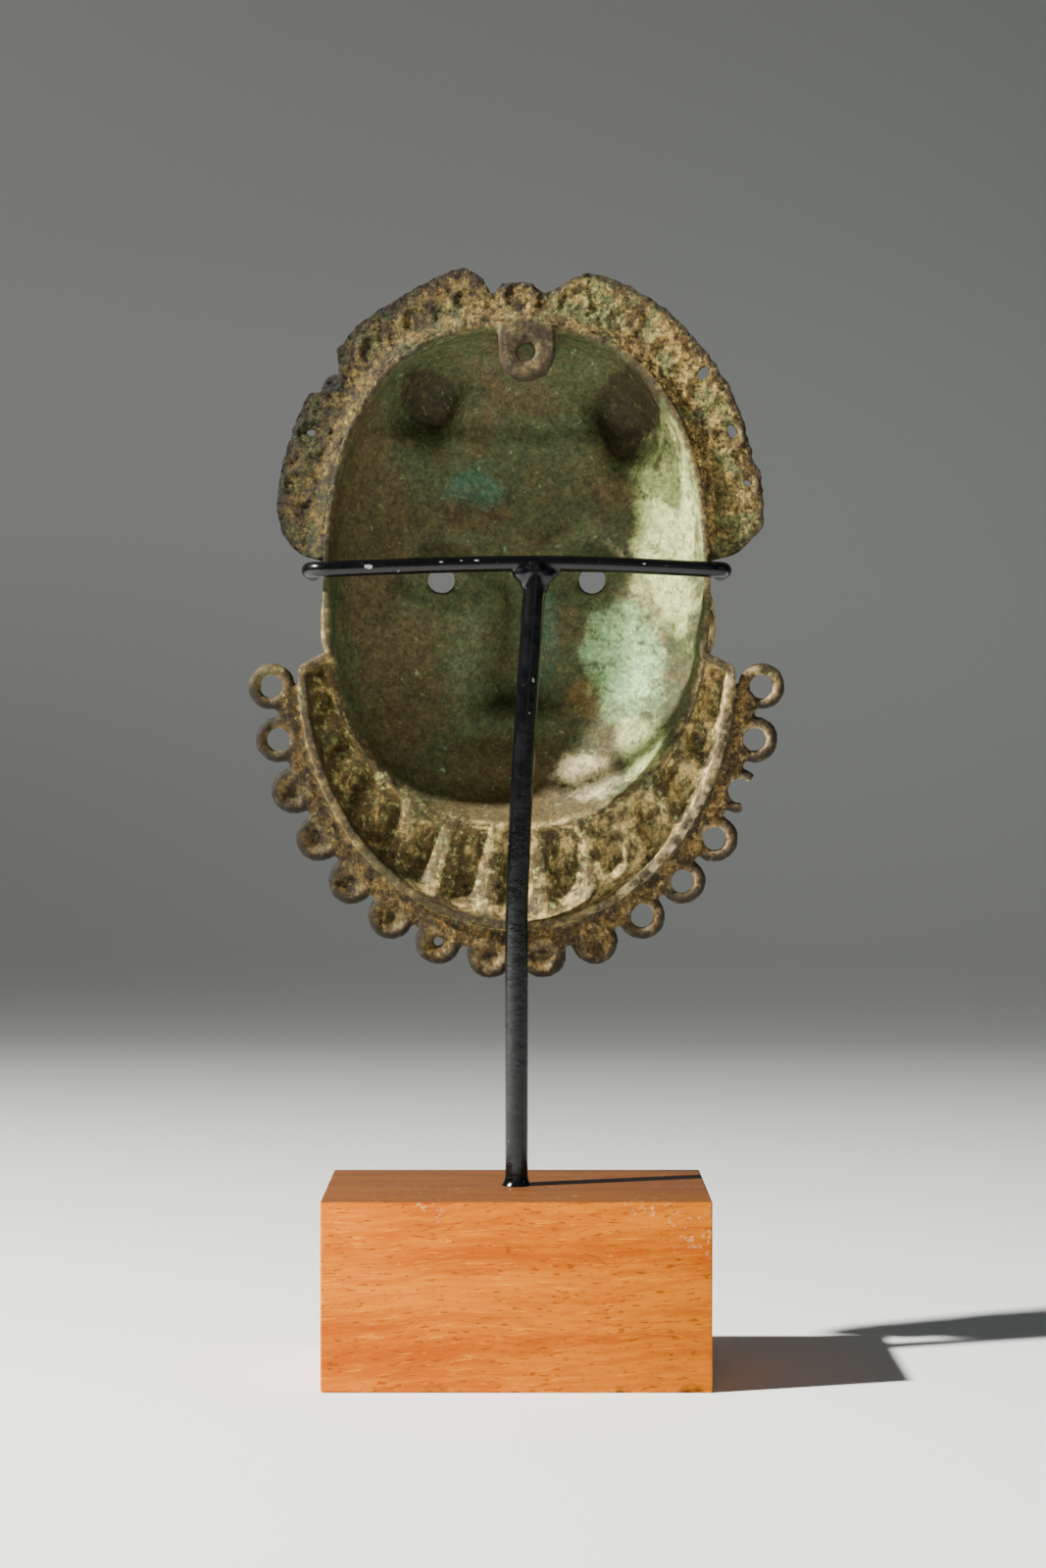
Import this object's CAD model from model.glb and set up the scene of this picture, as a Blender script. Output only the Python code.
import math

import bmesh
import bpy
import numpy as np
from mathutils import Matrix, Vector


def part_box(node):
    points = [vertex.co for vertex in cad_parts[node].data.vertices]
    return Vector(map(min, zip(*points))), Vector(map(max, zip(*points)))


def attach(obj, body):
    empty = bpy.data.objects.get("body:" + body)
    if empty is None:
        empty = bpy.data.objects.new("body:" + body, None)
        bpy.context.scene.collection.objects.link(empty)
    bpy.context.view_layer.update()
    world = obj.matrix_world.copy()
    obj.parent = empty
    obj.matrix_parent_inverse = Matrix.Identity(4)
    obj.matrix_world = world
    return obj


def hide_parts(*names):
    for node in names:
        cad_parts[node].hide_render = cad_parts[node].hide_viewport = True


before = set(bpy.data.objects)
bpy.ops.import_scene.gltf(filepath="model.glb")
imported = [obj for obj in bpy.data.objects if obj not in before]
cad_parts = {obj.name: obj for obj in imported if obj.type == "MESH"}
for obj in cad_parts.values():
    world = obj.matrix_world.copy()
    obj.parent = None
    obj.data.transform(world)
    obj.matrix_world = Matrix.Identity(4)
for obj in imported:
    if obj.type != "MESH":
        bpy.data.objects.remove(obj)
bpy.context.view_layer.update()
blockLow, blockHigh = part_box("wood_block")

# The mask's own frame: face centre, and the plane of its back rim. +Y is forward.
faceHeight = 0.2064
rimPlane = 0.0039


# Small helpers


def link(name, data):
    made = bpy.data.objects.new(name, data)
    bpy.context.scene.collection.objects.link(made)
    return made


def addTool(name, mesh):
    tool = link(name, mesh)
    tool.hide_render = True
    return tool


def applied(piece):
    bpy.context.view_layer.update()
    graph = bpy.context.evaluated_depsgraph_get()
    mesh = bpy.data.meshes.new_from_object(piece.evaluated_get(graph))
    mesh.transform(piece.matrix_world)
    name = piece.name
    bpy.data.objects.remove(piece, do_unlink=True)
    return link(name, mesh)


def bmOf(mesh):
    bm = bmesh.new()
    bm.from_mesh(mesh)
    return bm


def meshFrom(name, bm, weld=0.000001):
    bmesh.ops.remove_doubles(bm, verts=bm.verts, dist=weld)
    bmesh.ops.recalc_face_normals(bm, faces=bm.faces)
    mesh = bpy.data.meshes.new(name)
    bm.to_mesh(mesh)
    bm.free()
    return mesh


def smoothIn(piece, material):
    piece.data.materials.clear()
    piece.data.materials.append(material)
    piece.data.polygons.foreach_set("use_smooth", [True] * len(piece.data.polygons))


def joined(name, pieces):
    bm = bmesh.new()
    for piece in pieces:
        mesh = piece.data.copy()
        mesh.transform(piece.matrix_world)
        bm.from_mesh(mesh)
        bpy.data.meshes.remove(mesh)
        bpy.data.objects.remove(piece, do_unlink=True)
    mesh = bpy.data.meshes.new(name)
    bm.to_mesh(mesh)
    bm.free()
    return link(name, mesh)


def gridMesh(name, points, wrap=False):
    rows, columns = points.shape[:2]
    index = np.arange(rows * columns).reshape(rows, columns)
    if wrap:
        index = np.concatenate([index, index[:, :1]], 1)
    a, b, c, d = index[:-1, :-1], index[:-1, 1:], index[1:, 1:], index[1:, :-1]
    quads = np.stack([a, b, c, d], -1).reshape(-1, 4)
    mesh = bpy.data.meshes.new(name)
    mesh.from_pydata(points.reshape(-1, 3).tolist(), [], quads.tolist())
    return mesh


def placed(x, depth, z):
    return np.stack(np.broadcast_arrays(x, rimPlane + depth, faceHeight + z), -1)


def plate(name, outline, back, thickness, holes=()):
    curve = bpy.data.curves.new(name, "CURVE")
    curve.dimensions = "2D"
    curve.fill_mode = "BOTH"
    curve.extrude = thickness / 2
    for loop in (outline, *holes):
        spline = curve.splines.new("POLY")
        spline.points.add(len(loop) - 1)
        for point, (x, z) in zip(spline.points, loop):
            point.co = (x, z, 0.0, 1.0)
        spline.use_cyclic_u = True
    made = link(name, curve)
    made.rotation_euler = (math.radians(90), 0.0, 0.0)
    made.location = (0.0, rimPlane + back + thickness / 2, faceHeight)
    made = applied(made)
    made.data = meshFrom(name, bmOf(made.data), 0.00001)
    return made


def tube(name, points, radius, rounds, radii=None):
    curve = bpy.data.curves.new(name, "CURVE")
    curve.dimensions = "3D"
    curve.bevel_depth = radius
    curve.bevel_resolution = rounds
    curve.use_fill_caps = True
    spline = curve.splines.new("POLY")
    spline.points.add(len(points) - 1)
    for i, (point, place) in enumerate(zip(spline.points, points)):
        point.co = (*place, 1.0)
        point.radius = 1.0 if radii is None else radii[i]
    return applied(link(name, curve))


def addPeg(bm, at, radius, sides, depth, turn=Matrix(), shape=Matrix()):
    # a round tool that lies along Y
    turned = Matrix.Translation(Vector(at)) @ turn @ Matrix.Rotation(math.radians(90), 4, "X") @ shape
    bmesh.ops.create_cone(
        bm, cap_ends=True, segments=sides, radius1=radius, radius2=radius, depth=depth, matrix=turned
    )


def circle(x, z, radius, sides):
    turns = [2 * math.pi * i / sides for i in range(sides)]
    return [(x + radius * math.cos(turn), z + radius * math.sin(turn)) for turn in turns]


def ease(low, high, value):
    share = np.clip((value - low) / (high - low), 0.0, 1.0)
    return share * share * (3 - 2 * share)


def mound(x, z, atX, atZ, halfWidth, halfHeight, power=2.0):
    return np.exp(-(np.abs((x - atX) / halfWidth) ** power) - np.abs((z - atZ) / halfHeight) ** power)


# Node trees


def feed(tree, socket, value):
    if isinstance(value, bpy.types.NodeSocket):
        tree.links.new(value, socket)
    elif isinstance(value, tuple) and len(value) == 3 and socket.type == "RGBA":
        socket.default_value = (*value, 1.0)
    else:
        socket.default_value = value


def addNode(tree, kind, inputs=(), **settings):
    made = tree.nodes.new(kind)
    made.location = (180 * (len(tree.nodes) % 12), -220 * (len(tree.nodes) // 12))
    for name, value in settings.items():
        setattr(made, name, value)
    for key, value in dict(inputs).items():
        feed(tree, made.inputs[key], value)
    return made


def calc(tree, operation, a, b=0.0, clamp=False):
    return addNode(tree, "ShaderNodeMath", {0: a, 1: b}, operation=operation, use_clamp=clamp).outputs[0]


def times(tree, a, b, clamp=False):
    return calc(tree, "MULTIPLY", a, b, clamp)


def plus(tree, a, b, clamp=False):
    return calc(tree, "ADD", a, b, clamp)


def less(tree, a, b):
    return calc(tree, "SUBTRACT", a, b)


def vectorMath(tree, operation, a, b):
    return addNode(tree, "ShaderNodeVectorMath", {0: a, 1: b}, operation=operation).outputs[0]


def scaled(tree, vector, factor):
    return addNode(tree, "ShaderNodeVectorMath", {0: vector, "Scale": factor}, operation="SCALE").outputs[0]


def blend(tree, share, a, b):
    return addNode(tree, "ShaderNodeMix", {0: share, 6: a, 7: b}, data_type="RGBA").outputs[2]


def span(tree, value, low, high, toLow=0.0, toHigh=1.0):
    inputs = {"Value": value, "From Min": low, "From Max": high, "To Min": toLow, "To Max": toHigh}
    return addNode(tree, "ShaderNodeMapRange", inputs, interpolation_type="SMOOTHSTEP").outputs[0]


def noise(tree, vector, scale, detail=4.0, roughness=0.55, distortion=0.0):
    inputs = {"Vector": vector, "Scale": scale, "Detail": detail}
    inputs |= {"Roughness": roughness, "Distortion": distortion}
    return addNode(tree, "ShaderNodeTexNoise", inputs).outputs["Fac"]


def newGroup(name, outputs, family="ShaderNodeTree", **inputs):
    tree = bpy.data.node_groups.new(name, family)
    for sockets, way in ((inputs, "INPUT"), (outputs, "OUTPUT")):
        for key, kind in sockets.items():
            tree.interface.new_socket(name=key, in_out=way, socket_type="NodeSocket" + kind)
    return tree, tree.nodes.new("NodeGroupInput").outputs, tree.nodes.new("NodeGroupOutput").inputs


def useGroup(tree, group, inputs):
    return addNode(tree, "ShaderNodeGroup", inputs, node_tree=group).outputs[0]


# Patches: soft-edged islands, from a noise cut between two levels
patches, given, result = newGroup(
    "patches", {"Mask": "Float"}, Vector="Vector", Scale="Float", Low="Float", High="Float"
)
cloud = noise(patches, given["Vector"], given["Scale"], 6.0, 0.62, 0.4)
feed(patches, result["Mask"], span(patches, cloud, given["Low"], given["High"]))

# Three tones: two colours in broad clouds with a third in small flecks
threeTone, given, result = newGroup(
    "threeTone", {"Color": "Color"}, Vector="Vector", Broad="Float", Fine="Float", First="Color",
    Second="Color", Fleck="Color", Shift="Float", Flecking="Float",
)
broad = noise(threeTone, given["Vector"], given["Broad"], 6.0, 0.6, 0.6)
broad = span(threeTone, plus(threeTone, broad, given["Shift"]), 0.42, 0.60)
fine = noise(threeTone, given["Vector"], given["Fine"], 4.0, 0.7, 0.2)
fine = times(threeTone, span(threeTone, fine, 0.52, 0.66), given["Flecking"])
base = blend(threeTone, broad, given["First"], given["Second"])
feed(threeTone, result["Color"], blend(threeTone, fine, base, given["Fleck"]))

# Blotch: one ragged patch round a place, of a given half size
blotch, given, result = newGroup(
    "blotch", {"Mask": "Float"}, Vector="Vector", Centre="Vector", Half="Vector", Ragged="Float",
    Scale="Float", Soft="Float",
)
blotchEdge = 0.85
away = vectorMath(blotch, "SUBTRACT", given["Vector"], given["Centre"])
away = vectorMath(blotch, "DIVIDE", away, given["Half"])
away = addNode(blotch, "ShaderNodeVectorMath", {0: away}, operation="LENGTH").outputs["Value"]
torn = less(blotch, noise(blotch, given["Vector"], given["Scale"], 6.0, 0.68, 0.3), 0.5)
torn = times(blotch, torn, given["Ragged"])
fade = times(blotch, given["Soft"], 0.5)
outerEdge, innerEdge = plus(blotch, fade, blotchEdge), less(blotch, blotchEdge, fade)
feed(blotch, result["Mask"], span(blotch, plus(blotch, away, torn), outerEdge, innerEdge))

# Speckle: a colour made darker and lighter in fine grains
speckle, given, result = newGroup(
    "speckle", {"Color": "Color"}, Vector="Vector", Color="Color", Scale="Float", Amount="Float"
)
grains = noise(speckle, given["Vector"], given["Scale"], 6.0, 0.75, 0.2)
grains = span(speckle, grains, 0.30, 0.70, -1.0, 1.0)
factor = plus(speckle, times(speckle, grains, given["Amount"]), 1.0)
feed(speckle, result["Color"], scaled(speckle, given["Color"], factor))

# Grain: one height from two sizes of roughness
grain, given, result = newGroup(
    "grain", {"Height": "Float"}, Vector="Vector", Coarse="Float", Fine="Float", Share="Float"
)
coarse = noise(grain, given["Vector"], given["Coarse"], 3.0, 0.5)
small = noise(grain, given["Vector"], given["Fine"], 5.0, 0.7)
mixed = addNode(grain, "ShaderNodeMix", {0: given["Share"], 2: coarse, 3: small}, data_type="FLOAT")
feed(grain, result["Height"], mixed.outputs[0])


def patchy(tree, where, scale, low, high):
    return useGroup(tree, patches, {"Vector": where, "Scale": scale, "Low": low, "High": high})


def spot(tree, where, place, half, ragged, scale, soft=0.60):
    # its half depth of 10 m takes it through the whole object
    sizes = {"Centre": (place[0], 0.0, place[1]), "Half": (half[0], 10.0, half[1])}
    return useGroup(tree, blotch, {"Vector": where, **sizes, "Ragged": ragged, "Scale": scale, "Soft": soft})


def speckled(tree, where, colour, scale, amount):
    return useGroup(tree, speckle, {"Vector": where, "Color": colour, "Scale": scale, "Amount": amount})


def newMaterial(name):
    material = bpy.data.materials.new(name)
    material.use_nodes = True
    tree = material.node_tree
    shader = tree.nodes["Principled BSDF"]
    where = tree.nodes.new("ShaderNodeTexCoord").outputs["Object"]
    return material, tree, shader, where


def attribute(tree, name):
    return addNode(tree, "ShaderNodeAttribute", attribute_name=name).outputs["Fac"]


def finishLook(tree, shader, colour, roughness, specular):
    feed(tree, shader.inputs["Base Color"], colour)
    feed(tree, shader.inputs["Roughness"], roughness)
    shader.inputs["Specular IOR Level"].default_value = specular


def bump(tree, shader, height, distance, strength):
    made = addNode(tree, "ShaderNodeBump", {"Height": height, "Distance": distance, "Strength": strength})
    tree.links.new(made.outputs[0], shader.inputs["Normal"])


# Materials

bronzeLook = {
    "olive": (0.055, 0.063, 0.023),
    "brown": (0.082, 0.056, 0.021),
    "moss": (0.086, 0.098, 0.044),
    "mint": (0.280, 0.440, 0.200),
    "teal": (0.050, 0.130, 0.080),
    "pale": (0.480, 0.540, 0.210),
    "cream": (0.600, 0.500, 0.270),
    "ochre": (0.150, 0.082, 0.022),
    "tan": (0.420, 0.290, 0.115),
    "crustLow": (0.048, 0.027, 0.007),
    "crustHigh": (0.170, 0.110, 0.034),
    "verdigris": (0.060, 0.072, 0.026),
    "pit": (0.012, 0.008, 0.004),
    "dark": (0.026, 0.017, 0.009),
    "edge": (0.007, 0.005, 0.003),
    "worn": (0.560, 0.430, 0.250),
}

# Noise scales, in waves per metre: broad clouds and fine flecks of each region, then the grains over all
bronzeGrain = {
    "hollow": (55.0, 520.0),
    "flange": (210.0, 620.0),
    "collar": (150.0, 520.0),
    "border": (170.0, 560.0),
    "speckle": 900.0,
    "mottle": 380.0,
    "bumpCoarse": 600.0,
    "bumpFine": 1700.0,
}

# Patches inside the hollow: colour, place (x, z) and half size in metres, raggedness, strength
hollowPatches = (
    ("brown", (-0.0400, 0.2260), (0.0110, 0.0340), 1.0, 0.75),
    ("brown", (-0.0310, 0.1810), (0.0150, 0.0270), 1.2, 0.80),
    ("brown", (0.0000, 0.1560), (0.0230, 0.0120), 1.0, 0.85),
    ("brown", (0.0000, 0.1475), (0.0320, 0.0055), 0.9, 0.85),
    ("dark", (-0.0235, 0.2590), (0.0092, 0.0086), 0.35, 0.74),
    ("dark", (0.0298, 0.2545), (0.0098, 0.0140), 0.35, 0.76),
    ("moss", (-0.0130, 0.1850), (0.0075, 0.0170), 1.1, 0.80),
    ("teal", (-0.0115, 0.2350), (0.0070, 0.0060), 1.6, 0.55),
    ("teal", (0.0080, 0.1960), (0.0040, 0.0150), 1.2, 0.50),
    ("moss", (0.0210, 0.2190), (0.0120, 0.0090), 1.2, 0.55),
    ("pale", (0.0400, 0.2200), (0.0095, 0.0300), 1.0, 0.80),
    ("mint", (0.0290, 0.1880), (0.0120, 0.0165), 0.8, 0.95),
    ("ochre", (0.0190, 0.1790), (0.0050, 0.0070), 1.5, 0.55),
    ("cream", (0.0200, 0.1570), (0.0100, 0.0060), 1.2, 0.75),
    ("pale", (0.0340, 0.1640), (0.0070, 0.0100), 1.2, 0.60),
)

# Tints of each region from its left to its right: grime lies thicker on the left of flange and rings
grimeTints = {
    "collar": ((1.24, 1.21, 1.04), (1.22, 1.25, 1.24)),
    "flange": ((0.44, 0.44, 0.27), (1.80, 1.84, 1.72)),
    "border": ((0.48, 0.50, 0.36), (1.12, 1.14, 1.12)),
    "inside": ((1.12, 1.16, 1.22), (1.08, 1.08, 0.98)),
}


def toned(tree, where, region, colours, shift, flecking):
    broad, fine = bronzeGrain[region]
    inputs = {"Vector": where, "Broad": broad, "Fine": fine, "Shift": shift, "Flecking": flecking}
    inputs.update(zip(("First", "Second", "Fleck"), (bronzeLook[name] for name in colours)))
    return useGroup(tree, threeTone, inputs)


def hollowColour(tree, where):
    colour = toned(tree, where, "hollow", ("brown", "olive", "moss"), 0.10, 0.60)
    for name, place, half, ragged, strength in hollowPatches:
        soft = 0.12 if name == "dark" else 0.60
        patch = spot(tree, where, place, half, ragged * 1.6, 130.0, soft)
        colour = blend(tree, times(tree, patch, strength), colour, bronzeLook[name])
    freckles = times(tree, patchy(tree, where, 330.0, 0.55, 0.64), 0.65)
    colour = blend(tree, freckles, colour, bronzeLook["brown"])
    minerals = times(tree, patchy(tree, where, 420.0, 0.62, 0.72), 0.40)
    return blend(tree, minerals, colour, bronzeLook["mint"])


def flangeColour(tree, where):
    colour = toned(tree, where, "flange", ("crustLow", "crustHigh", "dark"), 0.02, 0.95)
    greens = times(tree, patchy(tree, where, 120.0, 0.48, 0.58), 0.70)
    colour = blend(tree, greens, colour, bronzeLook["verdigris"])
    tips = times(tree, patchy(tree, where, 520.0, 0.58, 0.68), 0.55)
    return blend(tree, tips, colour, bronzeLook["tan"])


def collarColour(tree, where, side, grimy):
    shift = span(tree, side, -0.030, 0.020, -0.09, 0.01)
    colour = toned(tree, where, "collar", ("brown", "tan", "pale"), shift, 0.45)
    mossy = times(tree, patchy(tree, where, 70.0, 0.54, 0.64), 0.60)
    colour = blend(tree, mossy, colour, bronzeLook["moss"])
    grimes = times(tree, grimy, span(tree, side, -0.040, 0.0, 0.25, 0.60))
    return blend(tree, grimes, colour, bronzeLook["dark"])


def borderColour(tree, where, grimy):
    colour = toned(tree, where, "border", ("crustLow", "ochre", "tan"), 0.02, 0.60)
    return blend(tree, times(tree, grimy, 0.70), colour, bronzeLook["dark"])


def bronzeMaterial():
    look = bronzeLook
    material, tree, shader, where = newMaterial("patinatedBronze")
    names = ("inside", "flange", "border", "edge", "cavity", "lug", "trim", "shine")
    inside, flange, border, edge, cavity, lug, trim, shine = (attribute(tree, name) for name in names)
    side = addNode(tree, "ShaderNodeSeparateXYZ", {0: where}).outputs[0]
    grimy = patchy(tree, where, 330.0, 0.52, 0.62)
    colour = blend(tree, inside, collarColour(tree, where, side, grimy), hollowColour(tree, where))
    colour = blend(tree, flange, colour, flangeColour(tree, where))
    colour = blend(tree, border, colour, borderColour(tree, where, grimy))
    colour = blend(tree, times(tree, lug, 0.86), colour, look["dark"])
    # dirt in pits, then a fine speckle, stronger on crust, and a coarse one, weaker inside the hollow
    crusted = plus(tree, flange, border, clamp=True)
    pits = times(tree, cavity, plus(tree, times(tree, crusted, 0.45), 0.35))
    colour = blend(tree, pits, colour, look["pit"])
    amount = plus(tree, times(tree, crusted, 0.40), 0.45)
    colour = speckled(tree, where, colour, bronzeGrain["speckle"], amount)
    amount = less(tree, 0.60, times(tree, inside, 0.25))
    colour = speckled(tree, where, colour, bronzeGrain["mottle"], amount)
    # rubbed metal on high edges and along the rim's bared strip, and dark outer edges
    rubbed = less(tree, 0.60, times(tree, flange, 0.45))
    bared = plus(tree, times(tree, span(tree, edge, 0.50, 1.0), rubbed), times(tree, shine, 0.9))
    bared = times(tree, bared, less(tree, 1.0, times(tree, trim, 0.7)))
    worn = times(tree, patchy(tree, where, 260.0, 0.44, 0.60), bared, clamp=True)
    glints = times(tree, patchy(tree, where, 480.0, 0.56, 0.64), 0.35)
    outer = blend(tree, glints, look["edge"], look["tan"])
    colour = blend(tree, times(tree, trim, 0.95), colour, outer)
    colour = blend(tree, times(tree, span(tree, edge, 0.12, 0.40), 0.70), colour, look["dark"])
    colour = blend(tree, worn, colour, look["worn"])
    grime = blend(tree, span(tree, side, -0.050, 0.050), *grimeTints["collar"])
    across = span(tree, side, -0.060, 0.060)
    for mask, name in ((flange, "flange"), (border, "border"), (inside, "inside")):
        grime = blend(tree, mask, grime, blend(tree, across, *grimeTints[name]))
    colour = vectorMath(tree, "MULTIPLY", colour, grime)
    finishLook(tree, shader, colour, span(tree, worn, 0.0, 1.0, 0.68, 0.34), 0.22)
    feed(tree, shader.inputs["Metallic"], times(tree, worn, 0.85))
    sizes = {"Coarse": bronzeGrain["bumpCoarse"], "Fine": bronzeGrain["bumpFine"]}
    height = useGroup(tree, grain, {"Vector": where, **sizes, "Share": 0.50})
    bump(tree, shader, height, 0.0008, plus(tree, times(tree, flange, 0.45), 0.55))
    return material


paintLook = {"black": (0.0022, 0.0022, 0.0026), "dust": (0.30, 0.29, 0.27), "chip": (0.26, 0.26, 0.24)}

# Chips in the bar's paint: x, z, half width, half height
chipPlaces = (
    (-0.0389, 0.2120, 0.0014, 0.0006),
    (-0.0198, 0.2132, 0.0006, 0.0002),
    (-0.0145, 0.2136, 0.0004, 0.0002),
    (-0.0105, 0.2136, 0.0007, 0.0002),
    (0.0335, 0.2127, 0.0004, 0.0002),
)


def blackMaterial():
    material, tree, shader, where = newMaterial("blackPaint")
    dust = times(tree, patchy(tree, where, 900.0, 0.60, 0.75), 0.06)
    colour = blend(tree, dust, paintLook["black"], paintLook["dust"])
    chips = patchy(tree, where, 260.0, 0.70, 0.715)
    for x, z, halfX, halfZ in chipPlaces:
        chip = spot(tree, where, (x, z), (halfX, halfZ), 1.6, 900.0)
        chips = calc(tree, "MAXIMUM", chips, span(tree, chip, 0.4, 0.6))
    colour = blend(tree, chips, colour, paintLook["chip"])
    scratches = noise(tree, where, 240.0, 3.0, 0.6)
    finishLook(tree, shader, colour, span(tree, scratches, 0.3, 0.7, 0.14, 0.26), 0.34)
    bump(tree, shader, less(tree, noise(tree, where, 350.0, 4.0, 0.6), chips), 0.00018, 0.6)
    return material


woodLook = {
    "pale": (0.720, 0.195, 0.001),
    "deep": (0.480, 0.094, 0.001),
    "light": (0.920, 0.330, 0.010),
    "dark": (0.260, 0.042, 0.003),
    "char": (0.045, 0.016, 0.006),
    "scuff": (0.850, 0.600, 0.330),
    "topTint": (0.059, 0.035, 0.019),
    "scratch": (0.80, 0.55, 0.34),
    "tip": 0.07,
}


def fibres(tree, wavy, along, across, scale, detail, roughness):
    # a noise drawn out along X, the way the block's grain runs
    drawn = vectorMath(tree, "MULTIPLY", wavy, (along, across, across))
    return noise(tree, drawn, scale, detail, roughness)


def woodMaterial():
    look = woodLook
    material, tree, shader, where = newMaterial("orangeWood")
    warped = addNode(tree, "ShaderNodeTexNoise", {"Vector": where, "Scale": 14.0, "Detail": 2.0})
    offset = vectorMath(tree, "MULTIPLY", warped.outputs["Color"], (0.0, 0.012, 0.012))
    wavy = vectorMath(tree, "ADD", where, offset)
    tipped = {"Vector": wavy, "Angle": look["tip"]}
    wavy = addNode(tree, "ShaderNodeVectorRotate", tipped, rotation_type="Y_AXIS").outputs[0]
    figure = fibres(tree, wavy, 14.0, 130.0, 1.0, 6.0, 0.66)
    fibre = fibres(tree, wavy, 70.0, 900.0, 1.0, 4.0, 0.65)
    streak = fibres(tree, wavy, 110.0, 1100.0, 1.4, 3.0, 0.6)
    pore = fibres(tree, wavy, 330.0, 1500.0, 1.0, 2.0, 0.5)
    colour = blend(tree, span(tree, figure, 0.36, 0.60), look["deep"], look["pale"])
    colour = blend(tree, span(tree, fibre, 0.40, 0.68, 0.0, 0.55), colour, look["deep"])
    colour = blend(tree, span(tree, streak, 0.56, 0.72, 0.0, 0.60), colour, look["light"])
    colour = blend(tree, span(tree, pore, 0.60, 0.68, 0.0, 0.70), colour, look["dark"])
    # char along the foot, rubs along the top edge and at its right corner, and a duller top face
    height = addNode(tree, "ShaderNodeSeparateXYZ", {0: where}).outputs[2]
    smudge = noise(tree, where, 60.0, 4.0, 0.7)
    low = times(tree, span(tree, height, 0.0032, 0.0, 0.0, 1.0), span(tree, smudge, 0.50, 0.62))
    colour = blend(tree, times(tree, low, 0.9), colour, look["char"])
    high = span(tree, height, blockHigh.z - 0.0075, blockHigh.z - 0.0002)
    high = times(tree, high, span(tree, smudge, 0.46, 0.62))
    corner = spot(tree, where, (0.046, 0.041), (0.009, 0.006), 1.4, 300.0)
    rubs = plus(tree, high, times(tree, corner, 0.5), clamp=True)
    rubs = times(tree, patchy(tree, where, 700.0, 0.56, 0.64), rubs)
    colour = blend(tree, times(tree, rubs, 0.8), colour, look["scuff"])
    top = span(tree, height, blockHigh.z - 0.0006, blockHigh.z - 0.0001)
    colour = blend(tree, times(tree, top, 0.85), colour, look["topTint"])
    upright = vectorMath(tree, "MULTIPLY", where, (260.0, 260.0, 22.0))
    scratch = noise(tree, upright, 1.0, 3.0, 0.55, 1.5)
    colour = blend(tree, span(tree, scratch, 0.70, 0.74, 0.0, 0.22), colour, look["scratch"])
    finishLook(tree, shader, colour, span(tree, figure, 0.3, 0.7, 0.30, 0.42), 0.05)
    bump(tree, shader, less(tree, fibre, pore), 0.00012, 0.6)
    return material


bronze = bronzeMaterial()
black = blackMaterial()
wood = woodMaterial()
print("materials made")

# Mask: shell of head, face and collar

shell = {
    "wall": 0.0024,
    "halfWidth": 0.0514,
    "crown": 0.0709,
    "jaw": 0.0635,
    "headPower": 2.45,
    "jawPower": 2.3,
    "faceDepth": 0.0245,
    "fullness": 2.1,
    "wallDepth": 0.0030,
    "yokeDepth": 0.0065,
    "noseHeight": 0.0125,
    "lobeRelief": 0.0085,
    "lobes": ((-0.225, 0.870), (0.290, 0.822)),
}
collar = {
    "start": 109.5,
    "halfWidth": 0.058,
    "drop": 0.0694,
    "centre": -0.021,
    "swell": 0.0085,
    "flutes": 14,
    "fluteDepth": 0.0043,
    "fluteFade": 0.55,
}
tall = shell["crown"] + shell["jaw"]
wide = 2 * shell["halfWidth"]
# Places of the face's parts, as shares of the head's height or width, and the pupil's radius in metres
sight = {
    "eye": 0.50, "brow": 0.575, "hair": 0.79, "nose": 0.27, "mouth": 0.18, "chin": 0.07, "eyeSide": 0.20,
    "pupil": 0.0036,
}


def level(share):
    return share * tall - shell["jaw"]


def headReach(bearing, inset=0.0):
    side, up = np.sin(bearing), np.cos(bearing)
    upper = up > 0
    height = np.where(upper, shell["crown"], shell["jaw"]) - inset
    power = np.where(upper, shell["headPower"], shell["jawPower"])
    across = (np.abs(side) / (shell["halfWidth"] - inset)) ** power
    return (across + (np.abs(up) / height) ** power) ** (-1 / power)


def collarReach(bearing):
    side, up = np.sin(bearing), np.cos(bearing)
    a = (side / collar["halfWidth"]) ** 2 + (up / collar["drop"]) ** 2
    b = -2 * up * collar["centre"] / collar["drop"] ** 2
    c = (collar["centre"] / collar["drop"]) ** 2 - 1
    return (-b + np.sqrt(b * b - 4 * a * c)) / (2 * a)


# How far the face's parts stand out from its plain dome, the half sizes of a lid and the hairline's slope
faceLook = {
    "socket": -0.0036,
    "ball": 0.0046,
    "lid": 0.0011,
    "lidWide": 0.0108,
    "lidTall": 0.0062,
    "brow": 0.0030,
    "cheek": 0.0022,
    "mouth": 0.0046,
    "chin": 0.0040,
    "hair": 0.0018,
    "hairStep": 0.002,
}


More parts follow.
